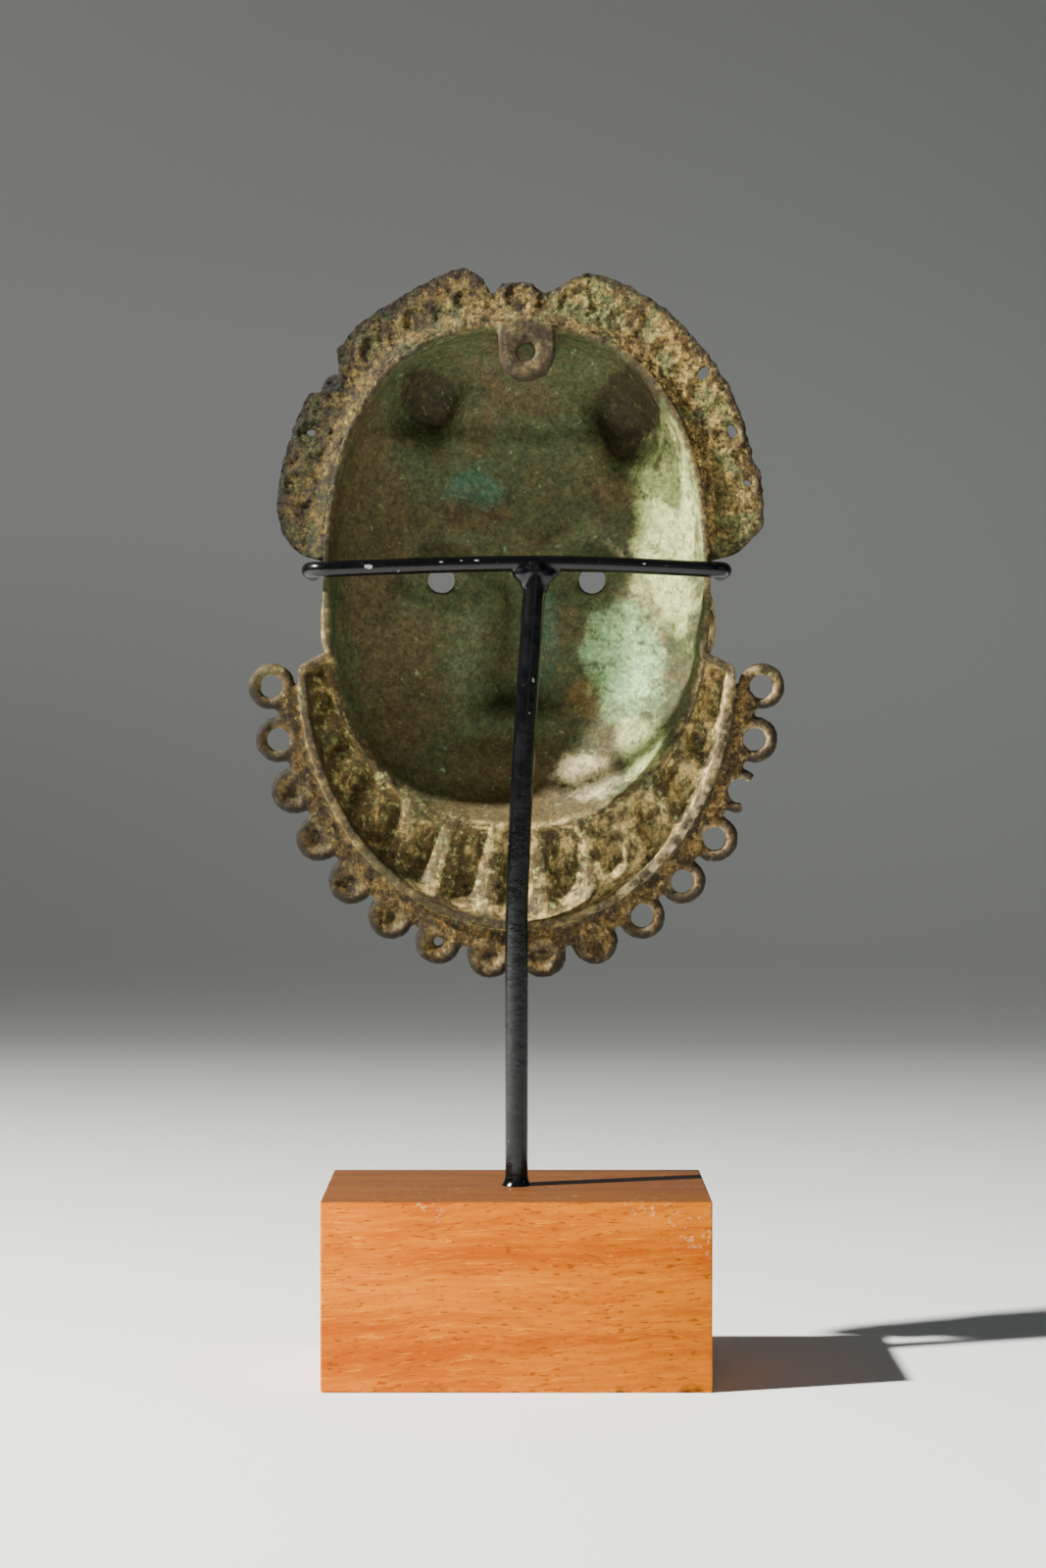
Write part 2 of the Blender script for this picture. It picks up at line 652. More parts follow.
def faceRelief(x, z):
    look = faceLook
    side = np.abs(x)
    eyeX, eyeZ = sight["eyeSide"] * wide, level(sight["eye"])
    relief = look["socket"] * mound(side, z, eyeX, eyeZ + 0.001, 0.145 * wide, 0.065 * tall)
    relief += look["ball"] * mound(side, z, eyeX, eyeZ, 0.095 * wide, 0.038 * tall)
    lid = np.abs(np.hypot((side - eyeX) / look["lidWide"], (z - eyeZ) / look["lidTall"]) - 1.0)
    relief += look["lid"] * np.exp(-((lid / 0.16) ** 2))
    browZ = level(sight["brow"]) - 0.9 * (side - eyeX) ** 2 / eyeX
    relief += look["brow"] * mound(side, z, eyeX, browZ, 0.17 * wide, 0.026 * tall)
    relief += look["cheek"] * mound(side, z, 0.27 * wide, level(0.30), 0.12 * wide, 0.09 * tall)
    down = (level(sight["brow"]) - z) / (level(sight["brow"]) - level(sight["nose"]))
    height = shell["noseHeight"] * (0.30 + 0.70 * ease(0.0, 1.0, down)) * (1 - ease(1.0, 1.22, down))
    halfWidth = wide * (0.052 + 0.062 * ease(0.35, 1.0, down))
    relief += height * ease(-0.1, 0.15, down) * np.exp(-((side / halfWidth) ** 2.4))
    relief += look["mouth"] * mound(x, z, 0.0, level(sight["mouth"]), 0.19 * wide, 0.062 * tall)
    relief += look["chin"] * mound(x, z, 0.0, level(sight["chin"]), 0.15 * wide, 0.045 * tall)
    for lobeSide, lobeLine in shell["lobes"]:
        offX, offZ = math.copysign(1.0, lobeSide) * x - abs(lobeSide) * wide, z - level(lobeLine)
        turnedX, turnedZ = offX + 0.45 * offZ, offZ - 0.45 * offX
        relief += shell["lobeRelief"] * mound(turnedX, turnedZ, 0.0, 0.0, 0.095 * wide, 0.10 * tall, 4.5)
    hairline = level(sight["hair"])
    relief += look["hair"] * ease(hairline - look["hairStep"], hairline + look["hairStep"], z)
    return relief


def footDepth(bearing):
    turn = np.degrees(np.minimum(np.abs(bearing), 2 * math.pi - np.abs(bearing)))
    return shell["wallDepth"] + (shell["yokeDepth"] - shell["wallDepth"]) * ease(95.0, 130.0, turn)


def faceFront(x, z):
    bearing = np.arctan2(x, z)
    out = np.minimum(1.0, np.hypot(x, z) / headReach(bearing))
    height = (1 - out ** shell["fullness"]) ** (1 / shell["fullness"])
    foot = footDepth(bearing)
    return foot + (shell["faceDepth"] - foot) * height + faceRelief(x, z) * ease(0.0, 0.5, height)


def collarDepth(bearing, share):
    pitch = (2 * math.pi - 2 * math.radians(collar["start"])) / collar["flutes"]
    rib = (0.5 - 0.5 * np.cos(2 * math.pi * (bearing - math.pi) / pitch)) ** 1.9
    faded = 1 - collar["fluteFade"] * ease(30.0, 60.0, np.abs(np.degrees(bearing) - 180))
    cut = collar["fluteDepth"] * faded * rib * np.sin(math.pi * np.minimum(1.0, share / 0.84)) ** 0.8
    return footDepth(bearing) * (1 - share) + collar["swell"] * np.sin(math.pi * share) - cut


def cutBy(piece, tool):
    modifier = piece.modifiers.new("cut", "BOOLEAN")
    modifier.operation = "DIFFERENCE"
    modifier.solver = "EXACT"
    modifier.object = tool
    made = applied(piece)
    bpy.data.objects.remove(tool, do_unlink=True)
    return made


def shellPiece():
    columns, domeRows, wallRows = 336, 90, 26
    bearing = 2 * math.pi * np.arange(columns) / columns
    turn = (math.pi / 2) * (np.arange(1, domeRows + 1) / domeRows)[:, None]
    out = np.sin(turn) ** (2 / shell["fullness"])
    reach = headReach(bearing)[None, :] * out
    x, z = reach * np.sin(bearing), reach * np.cos(bearing)
    dome = placed(x, faceFront(x, z), z)
    share = (np.arange(1, wallRows + 1) / wallRows)[:, None]
    nearest = np.minimum(bearing, 2 * math.pi - bearing)
    below = ease(math.radians(collar["start"] - 1.1), math.radians(collar["start"]), nearest)
    grow = (1 - np.cos(math.pi * share)) / 2
    reach = headReach(bearing) + (collarReach(bearing) - headReach(bearing)) * grow * below
    depth = collarDepth(bearing, share) * below + footDepth(bearing) * (1 - share) * (1 - below)
    walls = placed(reach * np.sin(bearing), depth, reach * np.cos(bearing))
    piece = link("maskShell", gridMesh("maskShell", np.concatenate([dome, walls]), wrap=True))
    bm = bmOf(piece.data)
    middle = bm.verts.new(placed(0.0, faceFront(np.array(0.0), np.array(0.0)), 0.0))
    bm.verts.ensure_lookup_table()
    for i in range(columns):
        bm.faces.new((bm.verts[i], middle, bm.verts[(i + 1) % columns]))
    bmesh.ops.recalc_face_normals(bm, faces=bm.faces)
    bm.faces.ensure_lookup_table()
    if bm.faces[-1].normal.y < 0:
        bmesh.ops.reverse_faces(bm, faces=bm.faces)
    bm.to_mesh(piece.data)
    bm.free()
    thickness = piece.modifiers.new("wall", "SOLIDIFY")
    thickness.thickness = shell["wall"]
    thickness.offset = -1.0
    piece = applied(piece)
    for hand in (-1, 1):
        bm = bmesh.new()
        middle = placed(hand * sight["eyeSide"] * wide, 0.030, level(sight["eye"]))
        addPeg(bm, middle, sight["pupil"], 28, 0.05)
        piece = cutBy(piece, addTool("pupil", meshFrom("pupil", bm)))
    return piece


# Mask: head flange, broken along its edge

flangeLook = {
    "side": 0.0009,
    "centre": 0.018,
    "tall": 0.0700,
    "wide": 0.0653,
    "end": 98.5,
    "seat": 0.0074,
    "back": 0.0026,
    "thickness": 0.0028,
    "edge": (
        (-99.0, 0.0068), (-94.0, 0.0020), (-88.0, 0.0003), (-70.0, 0.0006), (-58.6, 0.0008), (-53.2, 0.0075),
        (-46.5, 0.0003), (-40.0, 0.0002), (-28.0, 0.0011), (-12.8, 0.0005), (-8.9, 0.0041), (-7.2, 0.0096),
        (-4.2, 0.0060), (3.0, 0.0064), (6.4, 0.0092), (8.8, 0.0070), (14.5, 0.0010), (24.0, 0.0), (36.0, 0.0),
        (56.0, 0.0004), (74.6, 0.0013), (79.0, 0.0), (91.0, 0.0006), (99.0, 0.0074),
    ),
    "holes": (
        (-66.8, 0.0604, 0.0012), (51.0, 0.0626, 0.0017), (66.8, 0.0614, 0.0017), (80.2, 0.0614, 0.0012),
    ),
    "roundels": 13,
    "roundelRadius": 0.0046,
    "roundelReach": 0.05955,
    "roundelSpread": 81.0,
}


def flangePoint(bearing, distance):
    turn = math.radians(bearing)
    return flangeLook["side"] + distance * math.sin(turn), flangeLook["centre"] + distance * math.cos(turn)


def flangePiece():
    rough = np.random.default_rng(7)
    steps = 420
    outline = []
    wobble = np.convolve(rough.normal(0, 0.00045, steps + 21), np.ones(4) / 4, "same")
    breaks = np.array(flangeLook["edge"])
    for i in range(steps + 1):
        bearing = flangeLook["end"] * (2 * i / steps - 1)
        turn = math.radians(bearing)
        reach = 1 / math.hypot(math.sin(turn) / flangeLook["wide"], math.cos(turn) / flangeLook["tall"])
        reach += wobble[i + 10] - 0.0002 - float(np.interp(bearing, breaks[:, 0], breaks[:, 1]))
        x, z = flangePoint(bearing, reach)
        outline.append((x, max(flangeLook["seat"], z)))
    last = math.acos(flangeLook["seat"] / float(headReach(np.array(math.radians(80.0)), 0.0012)))
    for i in range(121):
        bearing = np.array(last * (1 - i / 60))
        reach = float(headReach(bearing, 0.0012))
        outline.append((reach * math.sin(bearing), max(flangeLook["seat"], reach * math.cos(bearing))))
    return plate("headFlange", outline, flangeLook["back"], flangeLook["thickness"])


def flangeHoles():
    # small uneven ovals, each turned its own way
    bm = bmesh.new()
    for n, (bearing, distance, radius) in enumerate(flangeLook["holes"]):
        x, z = flangePoint(bearing, distance)
        turn, oval = Matrix.Rotation(2.2 * n, 4, "Y"), Matrix.Diagonal((1.3, 0.85, 1.0, 1.0))
        addPeg(bm, placed(x, 0.0, z), radius, 7, 0.03, turn, oval)
    return addTool("flangeHoles", meshFrom("flangeHoles", bm))


# Geometry Nodes: one unit piece set on every point, turned by each point's own angle

repeatTree, given, result = newGroup(
    "repeatOnPoints", {"Geometry": "Geometry"}, "GeometryNodeTree", Geometry="Geometry", Unit="Object",
    Size="Float", Material="Material",
)
unitInfo = addNode(repeatTree, "GeometryNodeObjectInfo", {"Object": given["Unit"]})
turnOf = addNode(repeatTree, "GeometryNodeInputNamedAttribute", {"Name": "turn"}, data_type="FLOAT")
spin = addNode(repeatTree, "ShaderNodeCombineXYZ", {"Y": turnOf.outputs["Attribute"]}).outputs[0]
dots = addNode(repeatTree, "GeometryNodeMeshToPoints", {"Mesh": given["Geometry"]}).outputs[0]
onPoints = {"Points": dots, "Instance": unitInfo.outputs["Geometry"], "Rotation": spin}
onPoints["Scale"] = given["Size"]
onPoints = addNode(repeatTree, "GeometryNodeInstanceOnPoints", onPoints).outputs[0]
onPoints = addNode(repeatTree, "GeometryNodeRealizeInstances", {"Geometry": onPoints}).outputs[0]
dressed = {"Geometry": onPoints, "Material": given["Material"]}
feed(repeatTree, result["Geometry"], addNode(repeatTree, "GeometryNodeSetMaterial", dressed).outputs[0])


def shapedBy(piece, tree, **inputs):
    modifier = piece.modifiers.new(tree.name, "NODES")
    modifier.node_group = tree
    keys = {i.name: i.identifier for i in tree.interface.items_tree if i.in_out == "INPUT"}
    for key, value in inputs.items():
        modifier[keys[key]] = value
    return applied(piece)


def repeated(name, unitMesh, places, turns):
    unit = addTool(name + "Unit", unitMesh)
    mesh = bpy.data.meshes.new(name)
    mesh.from_pydata([tuple(p) for p in places], [], [])
    mesh.attributes.new("turn", "FLOAT", "POINT").data.foreach_set("value", np.array(turns, np.float32))
    made = shapedBy(link(name, mesh), repeatTree, Unit=unit, Size=1.0, Material=bronze)
    bpy.data.objects.remove(unit, do_unlink=True)
    return made


def lathe(name, profile, sides=40):
    # profile is (radius, y) pairs, closed on itself or on the axis
    turns = 2 * np.pi * np.arange(sides) / sides
    points = np.array([[(r * math.cos(t), y, r * math.sin(t)) for t in turns] for r, y in profile])
    return meshFrom(name, bmOf(gridMesh(name, points, wrap=True)))


# Mask: ring border

borderLook = {
    "count": 16,
    "radius": 0.00625,
    "hole": 0.0030,
    "offset": 0.0072,
    "last": 86.5,
    "back": 0.0015,
    "thickness": 0.0026,
    "open": (0, 1, 10, 11, 12, 14, 15),
    "broken": 13,
    "worn": 6,
    "webSetback": 0.0012,
    "webInset": 0.0012,
}


def collarCurve(offset, turns):
    # the collar's outer edge moved outward, with turns counted from its lowest point
    w, t = collar["halfWidth"] + offset, collar["drop"] + offset
    return np.stack([w * np.sin(turns), collar["centre"] - t * np.cos(turns)], 1)


def ringPlaces():
    w, t = collar["halfWidth"] + borderLook["offset"], collar["drop"] + borderLook["offset"]
    fine = np.radians(borderLook["last"] * np.linspace(-1, 1, 1441))
    path = collarCurve(borderLook["offset"], fine)
    run = np.concatenate([[0], np.cumsum(np.linalg.norm(np.diff(path, axis=0), axis=1))])
    turns = np.interp(np.linspace(0, run[-1], borderLook["count"]), run, fine)
    outward = np.stack([np.sin(turns) / w, -np.cos(turns) / t], 1)
    return collarCurve(borderLook["offset"], turns), outward / np.linalg.norm(outward, axis=1)[:, None]


ringAt, ringOut = ringPlaces()


def ringUnits():
    radius, hole, half = borderLook["radius"], borderLook["hole"], borderLook["thickness"] / 2
    middle, thick = (radius + hole) / 2, (radius - hole) / 2
    turns = [2 * math.pi * i / 20 for i in range(21)]
    section = [(middle + thick * math.cos(t), half * 1.04 * math.sin(t)) for t in turns]
    openRing = lathe("openRing", section)
    back = ((0.0, 0.0011), (0.0022, 0.0009), (0.0033, 0.00035), (0.0042, -0.0001), (0.0052, 0.0001))
    front = ((0.0050, 0.0), (0.0040, -0.0006), (0.0030, 0.0), (0.0, 0.0004))
    blind = [(r, -half + y) for r, y in back]
    blind += [(radius - 0.0002, -half + 0.0007), (radius, 0.0), (radius - 0.0003, half - 0.0006)]
    blind += [(r, half + y) for r, y in front]
    pinched = [(max(0.0013, r), y) for r, y in blind]
    pinched.append(pinched[0])
    return openRing, lathe("blindRing", blind), lathe("wornRing", pinched)


def borderPiece():
    middle = rimPlane + borderLook["back"] + borderLook["thickness"] / 2
    openRing, blindRing, wornRing = ringUnits()
    broken, worn = borderLook["broken"], borderLook["worn"]
    kinds = {
        "openRings": (openRing, list(borderLook["open"])),
        "wornRing": (wornRing, [worn]),
        "blindRings": (
            blindRing,
            [n for n in range(borderLook["count"]) if n not in (*borderLook["open"], broken, worn)],
        ),
    }
    made = []
    for name, (unit, numbers) in kinds.items():
        places = [(ringAt[n][0], middle, faceHeight + ringAt[n][1]) for n in numbers]
        made.append(repeated(name, unit, places, [0.7 * n for n in numbers]))
    centre, outward = ringAt[broken], ringOut[broken]
    along = np.array([-outward[1], outward[0]])
    ringMiddle = (borderLook["radius"] + borderLook["hole"]) / 2
    arc = []
    for i in range(25):
        turn = math.radians(64 + 238 * i / 24)
        at = centre + ringMiddle * (math.cos(turn) * outward + math.sin(turn) * along)
        arc.append((at[0], middle, faceHeight + at[1]))
    made.append(tube("brokenRing", arc, borderLook["thickness"] * 0.54, 4))
    turns = np.radians(borderLook["last"] * np.linspace(-1, 1, 181))
    web = collarCurve(borderLook["offset"] - borderLook["webSetback"], turns).tolist()
    web += collarCurve(-borderLook["webInset"], turns[::-1]).tolist()
    bm = bmesh.new()
    for n in (*borderLook["open"], broken):
        addPeg(bm, (ringAt[n][0], middle, faceHeight + ringAt[n][1]), borderLook["hole"], 24, 0.02)
    sheet = plate("web", web, borderLook["back"] + 0.0002, borderLook["thickness"] - 0.0004)
    made.append(cutBy(sheet, addTool("ringHoles", meshFrom("ringHoles", bm))))
    return joined("ringBorder", made)


# Mask: lug, roundels, ears, lips

lugLook = {
    "side": 0.0027,
    "radius": 0.0074,
    "hole": 0.0025,
    "drop": 0.0625,
    "back": -0.0012,
    "thickness": 0.0050,
    "buried": 0.0010,
}


def lugPiece():
    look = lugLook
    top = shell["crown"] - look["buried"]
    outline = [(look["side"] + look["radius"], top), (look["side"] - look["radius"], top)]
    for i in range(31):
        turn = math.pi * (1 + i / 30)
        across, up = look["radius"] * math.cos(turn), look["radius"] * math.sin(turn)
        outline.append((look["side"] + across, look["drop"] + up))
    eye = circle(look["side"], look["drop"], look["hole"], 28)
    return plate("lug", outline, look["back"], look["thickness"], [eye])


def roundelPlaces():
    # the test drops those that a deep break would leave hanging; with the breaks above it drops none
    breaks = np.array(flangeLook["edge"])
    places = []
    for i in range(flangeLook["roundels"]):
        bearing = flangeLook["roundelSpread"] * (2 * i / (flangeLook["roundels"] - 1) - 1)
        lost = float(np.interp(bearing, breaks[:, 0], breaks[:, 1]))
        if flangeLook["tall"] - lost - flangeLook["roundelReach"] > flangeLook["roundelRadius"] * 0.8:
            places.append(flangePoint(bearing, flangeLook["roundelReach"]))
    return places


def roundelPiece():
    radius = flangeLook["roundelRadius"]
    profile = [(0.0, -0.0009), (1.0, -0.0009), (1.0, 0.0006), (0.86, 0.0010), (0.72, 0.0004)]
    profile += [(0.5, 0.0005), (0.36, 0.0010), (0.0, 0.0012)]
    unit = lathe("roundel", [(radius * share, y) for share, y in profile], 32)
    front = rimPlane + flangeLook["back"] + flangeLook["thickness"]
    places = [(x, front, faceHeight + z) for x, z in roundelPlaces()]
    return repeated("roundels", unit, places, [0.0] * len(places))


lipLook = {"halfWidth": 0.135, "thickness": 0.0046}
earLook = {"depth": 0.0060, "height": 0.01075, "dish": 0.0013, "turn": 14.0, "at": (0.0095, -0.00845)}


def lipPieces():
    half, thick = lipLook["halfWidth"] * wide, lipLook["thickness"]
    made = []
    for name, rise in (("upperLip", 1.0), ("lowerLip", -1.0)):
        points, radii = [], []
        for i in range(41):
            x = half * (2 * i / 40 - 1)
            bow = math.cos(math.pi * x / (2 * half) * 0.999) ** 0.8
            z = level(sight["mouth"]) + rise * 0.62 * thick * bow
            depth = float(faceFront(np.array(x), np.array(z)))
            points.append(tuple(placed(x, depth + 0.0002, z)))
            radii.append(0.42 + 0.58 * math.sin(math.pi * i / 40))
        made.append(tube(name, points, thick / 2, 6, radii))
    return made


def earPieces():
    look, made = earLook, []
    for name, hand, relief in (("earLeft", -1.0, 0.0011), ("earRight", 1.0, 0.0022)):
        bm = bmesh.new()
        bmesh.ops.create_uvsphere(bm, u_segments=40, v_segments=24, radius=1.0)
        bmesh.ops.scale(bm, vec=(relief + shell["wall"], look["depth"], look["height"]), verts=bm.verts)
        for vert in bm.verts:
            dish = math.exp(-((vert.co.y / 0.0030) ** 2) - ((vert.co.z - 0.0015) / 0.0062) ** 2)
            if vert.co.x * hand > 0:
                vert.co.x -= hand * look["dish"] * dish
        turn = Matrix.Rotation(math.radians(look["turn"] * hand), 3, "Z")
        bmesh.ops.rotate(bm, matrix=turn, verts=bm.verts)
        at = placed(hand * (shell["halfWidth"] - shell["wall"]), *look["at"])
        bmesh.ops.translate(bm, vec=Vector(at), verts=bm.verts)
        made.append(link(name, meshFrom(name, bm)))
    return made


surfaceLook = {
    "voxel": 0.00050,
    "quickVoxel": 0.00085,
    "triangles": 190000,
    "smoothing": 5,
    "coreRounds": 18,
    "lumps": 0.0008,
    "sand": 0.0008,
    "edgeBend": 900.0,
    "cavityBend": 700.0,
    "crustHeight": 0.0021,
    "crustReach": 0.0026,
    "ghostRise": 0.00045,
    "ghostSink": 0.0003,
}


def remeshed(piece, size):
    modifier = piece.modifiers.new("remesh", "REMESH")
    modifier.mode = "VOXEL"
    modifier.voxel_size = size
    return applied(piece)


def softened(piece, rounds):
    modifier = piece.modifiers.new("soften", "SMOOTH")
    modifier.factor = 0.5
    modifier.iterations = rounds
    return applied(piece)


def listed(items, name, width, kind=np.float32):
    out = np.empty(len(items) * width, kind)
    items.foreach_get(name, out)
    return out.reshape(-1, width)


def coords(mesh):
    return listed(mesh.vertices, "co", 3).astype(float)


def normals(mesh):
    return listed(mesh.vertex_normals, "vector", 3).astype(float)


def edgesOf(mesh):
    return listed(mesh.edges, "vertices", 2, np.int32)


def setCoords(mesh, co):
    mesh.vertices.foreach_set("co", co.astype(np.float32).ravel())
    mesh.update()


def spread(edges, values, rounds):
    count = np.bincount(edges.ravel(), minlength=len(values)) + 1.0
    for _ in range(rounds):
        total = values + np.bincount(edges[:, 0], values[edges[:, 1]], len(values))
        total += np.bincount(edges[:, 1], values[edges[:, 0]], len(values))
        values = total / count
    return values


# Lines and strips as pairs of lengths between which each one fades: on the flange past its edge, on the
# rings from their centre, at the rim past the collar's edge
trimLook = {
    "flangeEdge": (-0.0023, -0.0013),
    "ringEdge": (0.0037, 0.0049),
    "ringMiddle": (0.0026, 0.0018),
    "ringCrest": ((0.0022, 0.0029), (0.0044, 0.0036)),
    "leftLine": ((-0.0032, -0.0026), (-0.0012, -0.0018)),
    "rightLine": ((-0.0004, 0.0002), (0.0016, 0.0010)),
    "bareStrip": ((-0.0014, -0.0009), (0.0002, -0.0002)),
}


def band(name, value):
    rise, fall = trimLook[name]
    return ease(*rise, value) * ease(*fall, value)


def trims(x, z, flange, border, pastRim):
    # trim: the dark outer edges of flange and rings, and dark lines beside the collar's rim
    across, up = x - flangeLook["side"], z - flangeLook["centre"]
    bearing = np.arctan2(across, up)
    breaks = np.array(flangeLook["edge"])
    reach = 1 / np.hypot(np.sin(bearing) / flangeLook["wide"], np.cos(bearing) / flangeLook["tall"])
    reach -= np.interp(np.degrees(bearing), breaks[:, 0], breaks[:, 1])
    trim = flange * ease(*trimLook["flangeEdge"], np.hypot(across, up) - reach)
    away = np.stack([x, z], 1)[:, None, :] - ringAt[None, :, :]
    nearest = np.argmin(np.linalg.norm(away, axis=2), axis=1)
    away = away[np.arange(len(x)), nearest]
    fromRing, outward = np.linalg.norm(away, axis=1), np.sum(away * ringOut[nearest], axis=1)
    trim += border * ease(*trimLook["ringEdge"], fromRing) * ease(-0.0035, 0.0, outward)
    trim += 0.55 * border * ease(*trimLook["ringMiddle"], fromRing)
    trim += 0.7 * band("leftLine", pastRim) * (x < 0.0)
    trim += 0.8 * band("rightLine", pastRim) * ease(0.005, 0.020, x)
    # shine: the bared strip of the rim at the lower right, and the rings' crests
    shine = band("bareStrip", pastRim) * ease(0.012, 0.030, x)
    shine += 0.45 * border * band("ringCrest", fromRing)
    return np.minimum(trim, 1.0), shine


def regions(co):
    x, z = co[:, 0], co[:, 2] - faceHeight
    depth = co[:, 1] - rimPlane
    bearing = np.arctan2(x, z)
    out = np.hypot(x, z)
    head = headReach(bearing)
    rim = collarReach(bearing)
    below = np.abs(bearing) > math.radians(collar["start"])
    flange = ease(-0.0022, -0.0006, out - head) * (depth < 0.0075) * (z > flangeLook["seat"] - 0.003)
    border = ease(-0.0004, 0.0010, out - rim) * below * (depth < 0.0065)
    inset = np.minimum(1.0, out / np.maximum(head - 0.0012, 0.001))
    middle = faceFront(x, z) - shell["wall"] / 2
    lug = (np.hypot(x - lugLook["side"], z - lugLook["drop"]) < 0.0088) * (depth < 0.0042)
    inside = (inset < 1.0) * ease(-0.0006, 0.0006, middle - depth) * (1 - lug)
    trim, shine = trims(x, z, flange, border, (out - rim) + 0.02 * (~below))
    return {"flange": flange, "border": border, "inside": inside, "lug": lug, "trim": trim, "shine": shine}


# Casting skin: soft lumps all over, and grit that is strongest on the flange and weakest in the hollow
skinTree, given, result = newGroup(
    "castingSkin", {"Geometry": "Geometry"}, "GeometryNodeTree", Geometry="Geometry", Lumps="Float",
    Sand="Float", Material="Material",
)


def skinField(name):
    made = addNode(skinTree, "GeometryNodeInputNamedAttribute", {"Name": name}, data_type="FLOAT")
    return made.outputs["Attribute"]


def skinNoise(scale, detail, roughness):
    return less(skinTree, noise(skinTree, skinPoint, scale, detail, roughness), 0.5)


skinPoint = addNode(skinTree, "GeometryNodeInputPosition").outputs[0]
lumps, clumps, fines = skinNoise(150.0, 3.0, 0.5), skinNoise(420.0, 3.0, 0.6), skinNoise(900.0, 2.0, 0.6)
fines = plus(skinTree, fines, times(skinTree, clumps, 0.6))
gritty = plus(skinTree, times(skinTree, skinField("flange"), 0.7), times(skinTree, skinField("border"), 0.25))
gritty = plus(skinTree, gritty, less(skinTree, 0.45, times(skinTree, skinField("inside"), 0.35)))
gritty = times(skinTree, times(skinTree, gritty, fines), given["Sand"])
push = plus(skinTree, times(skinTree, lumps, given["Lumps"]), gritty)
facing = addNode(skinTree, "GeometryNodeInputNormal").outputs[0]
shifted = {"Geometry": given["Geometry"], "Offset": scaled(skinTree, facing, push)}
shifted = addNode(skinTree, "GeometryNodeSetPosition", shifted).outputs[0]
coated = {"Geometry": shifted, "Material": given["Material"]}
feed(skinTree, result["Geometry"], addNode(skinTree, "GeometryNodeSetMaterial", coated).outputs[0])


def setField(mesh, name, values):
    field = mesh.attributes.get(name) or mesh.attributes.new(name, "FLOAT", "POINT")
    field.data.foreach_set("value", np.asarray(values, np.float32))


def markSurface(mesh):
    co, facing, edges = coords(mesh), normals(mesh), edgesOf(mesh)
    for name, values in regions(co).items():
        setField(mesh, name, spread(edges, values.astype(float), 2))
    a, b = edges[:, 0], edges[:, 1]
    step = co[b] - co[a]
    length = np.maximum(np.linalg.norm(step, axis=1), 1e-6)
    bend = np.einsum("ij,ij->i", facing[b] - facing[a], step) / length**2
    total = np.bincount(a, bend, len(co)) + np.bincount(b, bend, len(co))
    curve = total / np.maximum(np.bincount(edges.ravel(), minlength=len(co)), 1)
    curve = spread(edges, curve, 3)
    setField(mesh, "edge", np.clip(curve / surfaceLook["edgeBend"], 0, 1))
    setField(mesh, "cavity", np.clip(-curve / surfaceLook["cavityBend"], 0, 1))


def triangleCount(mesh):
    return sum(len(p.vertices) - 2 for p in mesh.polygons)


def settleSurface(mesh):
    co, facing = coords(mesh), normals(mesh)
    backReach = flangeLook["back"] + 0.0012
    # faint prints of the roundels on the flange's back
    back = (facing[:, 1] < -0.5) & (co[:, 1] - rimPlane < backReach)
    ghosts = np.zeros(len(co))
    for x, z in roundelPlaces():
        away = np.hypot(co[:, 0] - x, co[:, 2] - faceHeight - z)
        ghosts += surfaceLook["ghostRise"] * np.exp(-(((away - 0.0042) / 0.0008) ** 2))
        ghosts -= surfaceLook["ghostSink"] * np.exp(-((away / 0.0022) ** 2))
    co[:, 1] -= ghosts * back
    # crust fills the corner between the flange's back and the head's rim
    x, z, depth = co[:, 0], co[:, 2] - faceHeight, co[:, 1] - rimPlane
    gap = np.hypot(x, z) - headReach(np.arctan2(x, z))
    crust = np.exp(-((np.maximum(gap, 0.0) / surfaceLook["crustReach"]) ** 2))
    ceiling = flangeLook["back"] - surfaceLook["crustHeight"] * crust
    filled = (gap > -0.0003) & (depth < backReach) & (z > flangeLook["seat"] + 0.0006) & (depth > ceiling)
    co[filled, 1] = rimPlane + ceiling[filled]
    # the hollow is smoothed more than the front, except round the pupils
    edges, hollow = edgesOf(mesh), regions(co)["inside"]
    fromEye = np.abs(co[:, 0]) - sight["eyeSide"] * wide, co[:, 2] - faceHeight - level(sight["eye"])
    share = (spread(edges, hollow * (np.hypot(*fromEye) > 0.0048), 6) ** 2)[:, None]
    calm = np.stack([spread(edges, co[:, i], surfaceLook["coreRounds"]) for i in range(3)], 1)
    co += (calm - co) * share
    setCoords(mesh, co)
    for name, values in regions(co).items():
        setField(mesh, name, values)


def maskPiece():
    flange = cutBy(flangePiece(), flangeHoles())
    discs = cutBy(roundelPiece(), flangeHoles())
    parts = [shellPiece(), flange, borderPiece(), lugPiece(), discs, *lipPieces(), *earPieces()]
    piece = joined("bronzeMask", parts)
    piece = remeshed(piece, surfaceLook["voxel"])
    print("mask remeshed", len(piece.data.polygons))
    piece = softened(piece, surfaceLook["smoothing"])
    settleSurface(piece.data)
    sizes = {"Lumps": surfaceLook["lumps"], "Sand": surfaceLook["sand"]}
    piece = shapedBy(piece, skinTree, Material=bronze, **sizes)
    triangles = triangleCount(piece.data)
    if triangles > surfaceLook["triangles"]:
        thin = piece.modifiers.new("thin", "DECIMATE")
        thin.ratio = surfaceLook["triangles"] / triangles
        piece = applied(piece)
    markSurface(piece.data)
    smoothIn(piece, bronze)
    print("mask finished", triangleCount(piece.data), "triangles")
    return piece


mask = maskPiece()
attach(mask, "root")
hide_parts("mask")

# Cradle: rod, bar with two arms, weld beads and the small flare where the rod enters the block

